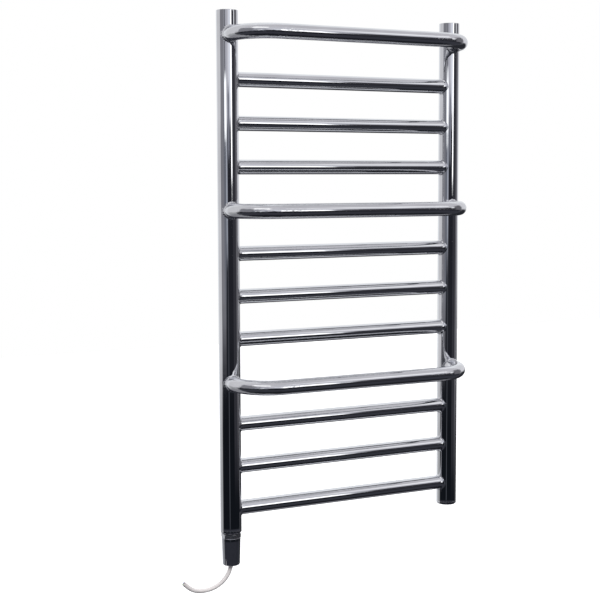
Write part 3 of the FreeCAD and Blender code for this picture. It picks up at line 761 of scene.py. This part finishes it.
def makeEndBush(s, name, axis, node):
    foot, top = ends(node)
    r, soft = radiusOf(node), s["softEdge"]
    shoulder = foot + s["flange"]
    corners = [
        (s["port"], foot, soft), (r - s["chamfer"], foot, soft), (r, foot + s["chamfer"], soft),
        (r, shoulder, s["seam"]), (s["spigot"], shoulder, 0), (s["spigot"], top, 0), (s["port"], top, 0),
    ]
    keepPiece(name, lathed(name, corners, axis), "bright_chrome", (node,))


def makeBlankingPlug(s):
    foot, top = ends("blanking_plug")
    r, soft = radiusOf("blanking_plug"), s["softEdge"]
    corner = s["plugSocket"] / 2 / math.cos(math.pi / 6)
    roof = foot + s["plugSocketDepth"]
    corners = [
        (0, roof, 0), (corner, roof, 0), (corner, foot + soft, 0), (corner + soft, foot, 0),
        (r, foot, soft), (r, top, 0), (0, top, 0),
    ]
    pressed = hexagonal(s["plugSocket"])

    def shape(reach, height, turn):
        inSocket = reach <= corner + soft / 2 and height < roof + soft
        return pressed(reach, height, turn) if inSocket else reach

    mesh = lathed("blankingPlug", corners, rightAxis, shape=shape)
    keepPiece("blankingPlug", mesh, "bright_chrome", ("blanking_plug",))


def makeElementHead(s):
    low, high = ends("element_head")
    foot, top = ends("element_cover")[1], ends("element_seal")[0]
    soft, bevel = s["softEdge"], s["hexChamfer"]
    corner = s["hexagon"] / 2 / math.cos(math.pi / 6)
    neck = radiusOf("element_cover") - s["coverWall"] - 2 * soft
    corners = [
        (s["headBore"], low, 0), (neck, low, soft), (neck, foot, 0), (corner - bevel, foot, soft / 2),
        (corner, foot + bevel / 2, 0), (corner, top - bevel / 2, 0), (corner - bevel, top, soft / 2),
        (s["shank"], top, 0), (s["shank"], high, soft), (s["headBore"], high, 0),
    ]
    mesh = lathed("elementHead", corners, leftAxis, sharp=25, shape=hexagonal(s["hexagon"]))
    keepPiece("elementHead", mesh, "nickel_head", ("element_head",))


def makeElementSeal(s):
    foot, top = ends("element_seal")
    r, edge = radiusOf("element_seal"), (top - foot) * s["sealEdge"]
    corners = [(s["port"], foot, 0), (r, foot, edge), (r, top, edge), (s["port"], top, 0)]
    keepPiece("elementSeal", lathed("elementSeal", corners, leftAxis), "seal_fibre", ("element_seal",))


def makeElementCover(s):
    foot, top = ends("element_cover")
    rim = radiusOf("element_cover")
    base = rim - s["coverTaper"]
    soft, wall, floor = s["softEdge"], s["coverWall"], foot + s["coverFloor"]
    hole = s["grommetWaist"] + s["grommetGap"]
    corners = [(hole, foot, soft), (base, foot, s["coverFootEdge"])]
    for step in range(1, s["coverRings"]):
        share = step / s["coverRings"]
        corners.append((base + (rim - base) * share, foot + (top - foot) * share, 0))
    corners += [(rim, top, soft), (rim - wall, top, soft), (base - wall, floor, soft), (hole, floor, 0)]
    mesh = lathed("elementCover", corners, leftAxis, s["coverSegments"])
    keepPiece("elementCover", mesh, "cover_chrome", ("element_cover",))


def makeGrommet(s):
    foot, top = ends("cord_grommet")
    lip = radiusOf("cord_grommet")
    soft, floor = s["softEdge"], s["coverFloor"]
    bore, waist = s["grommetBore"], s["grommetWaist"]
    corners = [
        (bore, foot, 2 * soft), (waist, foot, soft), (waist, foot + floor, 0), (lip, foot + floor, 0),
        (lip, top, soft), (bore, top, soft),
    ]
    keepPiece("cordGrommet", lathed("cordGrommet", corners, leftAxis), "grommet_grey", ("cord_grommet",))


def makeBossTree():
    # sets its input's boss at the four corners of an upright rectangle
    tree, given = newTree("wall bosses", ("Boss", "Geometry"), ("Across", "Float"), ("Up", "Float"),
                          ("Finish", "Material"))
    flat = addNode(tree, "GeometryNodeMeshGrid", {
        "Size X": given["Across"], "Size Y": given["Up"], "Vertices X": 2, "Vertices Y": 2,
    })
    standing = addNode(tree, "GeometryNodeTransform", {"Geometry": flat, "Rotation": (math.pi / 2, 0, 0)})
    setAtPoints(tree, standing, given["Boss"], given["Finish"])
    return tree


def makeBosses(s):
    low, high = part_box("wall_bosses")
    spacing = frame["record"]["mounts"][0]["dims"]
    across, up = spacing["spacing_x_mm"], spacing["spacing_y_mm"]
    length = (high.y - low.y) * 1000
    r = high.z * 1000 - up / 2
    hole, thread, depth, pitch = s["bossHole"], s["bossThread"], s["bossHoleDepth"], s["threadPitch"]
    corners = [(0, -depth, 0), (hole, -depth, 0)]
    for turn in range(1, int(depth / pitch)):
        height = turn * pitch - depth
        corners += [(hole, height, 0), (thread, height + pitch / 2, 0)]
    corners += [
        (hole, -pitch, 0), (thread + s["softEdge"], 0, 0), (r, 0, s["softEdge"]), (r, -length, 0),
        (0, -length, 0),
    ]
    mesh = lathed("wallBoss", corners, (0, 0), s["bossSegments"])
    mesh.transform(Matrix.Rotation(-math.pi / 2, 4, "X"))
    mesh = repeated("wallBosses", mesh, makeBossTree(), {
        "Across": across / 1000, "Up": up / 1000, "Finish": looks["bright_chrome"],
    })
    keepPiece("wallBosses", mesh, "bright_chrome", ("wall_bosses",))


makeTopCap(fittings, "leftTopCap", leftAxis, "left_top_cap")
makeTopCap(fittings, "rightTopCap", rightAxis, "right_top_cap")
makeEndBush(fittings, "leftEndBush", leftAxis, "left_end_bush")
makeEndBush(fittings, "rightEndBush", rightAxis, "right_end_bush")
makeBlankingPlug(fittings)
makeElementHead(fittings)
makeElementSeal(fittings)
makeElementCover(fittings)
makeGrommet(fittings)
makeBosses(fittings)
print("fittings made")


cord = {
    "exit": (-0.188, -0.0175, -0.4377),
    "diameter": 0.0065,
    "core": 0.0022,          # diameter over a core's insulation
    "coreReach": 0.0014,     # from the cord's middle to a core's
    "coreProud": 0.00015,    # how far a core stands out of the cut
    "coreTurn": 0.6,         # where the first core lies, in radians
    "coreSegments": 32,
    "sideSteps": 12,
    "lengthSteps": 24,
    "route": (
        (0, 0, 0), (-0.0026, 0, -0.0104), (-0.0096, -0.0003, -0.021), (-0.02, -0.0008, -0.029),
        (-0.0322, -0.0014, -0.0332), (-0.0447, -0.0021, -0.0342), (-0.0572, -0.0028, -0.0324),
        (-0.0684, -0.0034, -0.0266), (-0.0768, -0.004, -0.0176),
    ),
}


def makeCoreEnd(s, name, slot, number):
    # one of three insulated cores, showing in the cord's cut end
    end, before = (Vector(s["exit"]) + Vector(offset) for offset in s["route"][:-3:-1])
    r, proud = s["core"] * 500, s["coreProud"] * 1000
    turn = s["coreTurn"] + number * 2 * math.pi / 3
    corners = [(0, -proud, 0), (r, -proud, 0), (r, proud, proud / 2), (0, proud, 0)]
    mesh = lathed(name, corners, (0, 0), s["coreSegments"])
    mesh.transform(Matrix.Translation((s["coreReach"] * math.cos(turn), s["coreReach"] * math.sin(turn), 0)))
    mesh.transform((end - before).to_track_quat("Z", "Y").to_matrix().to_4x4())
    mesh.transform(Matrix.Translation(end))
    return keepPiece(name, mesh, slot)


def makeCord(s):
    cores = [makeCoreEnd(s, f"{colour}CoreEnd", f"core_{colour}", number)
             for number, colour in enumerate(("brown", "blue", "green"))]
    data = bpy.data.curves.new("supplyCord", "CURVE")
    data.dimensions = "3D"
    line = data.splines.new("NURBS")
    line.points.add(len(s["route"]) - 1)
    for point, offset in zip(line.points, s["route"]):
        point.co = (*(Vector(s["exit"]) + Vector(offset)), 1)
    line.order_u = 3
    line.use_endpoint_u = True
    line.resolution_u = s["lengthSteps"]
    data.bevel_depth = s["diameter"] / 2
    data.bevel_resolution = s["sideSteps"]
    data.use_fill_caps = True
    data.materials.append(looks["cord_grey"])
    item = bpy.data.objects.new("supplyCord", data)
    bpy.context.scene.collection.objects.link(item)
    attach(item, "root")
    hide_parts("supply_cord")


makeCord(cord)
print("cord laid")
